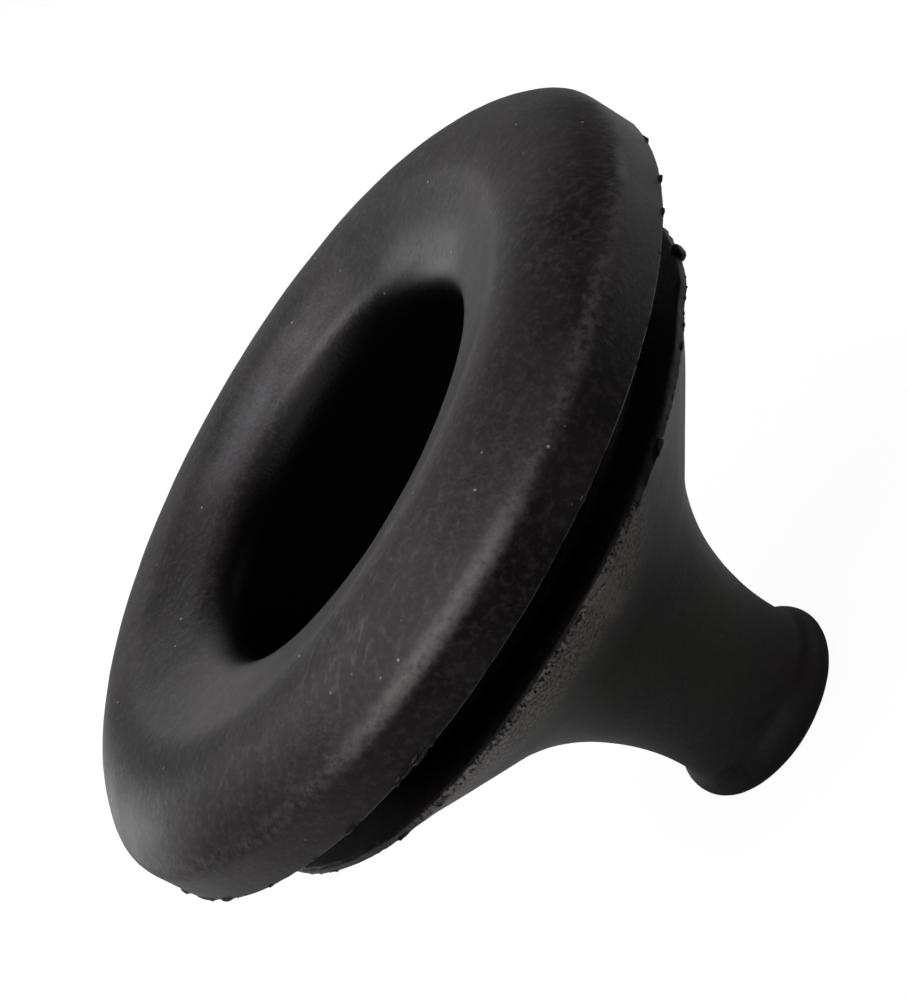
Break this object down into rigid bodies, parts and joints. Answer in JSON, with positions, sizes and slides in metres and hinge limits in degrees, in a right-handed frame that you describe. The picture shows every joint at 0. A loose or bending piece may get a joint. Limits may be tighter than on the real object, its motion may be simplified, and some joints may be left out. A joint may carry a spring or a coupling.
{
  "type": "rubber cable bushing",
  "caption": "Moulded black rubber cable bushing: a rounded flange with a funnel mouth, a panel groove behind it, and a trumpet skirt that narrows to a beaded neck round the cable.",
  "frame": {"origin": "centre of the neck's end face, on the surface that the bushing stands on", "axes": "+Z along the bushing's axis, from the neck's end to the flange's face. The bushing is round, so the direction of X is free."},
  "size_m": [0.036, 0.036, 0.0245],
  "materials": {
    "rubber": "matte moulded, lightly scuffed"
  },
  "bodies": {
    "root": {"bushing": "rubber"}
  },
  "joints": []
}
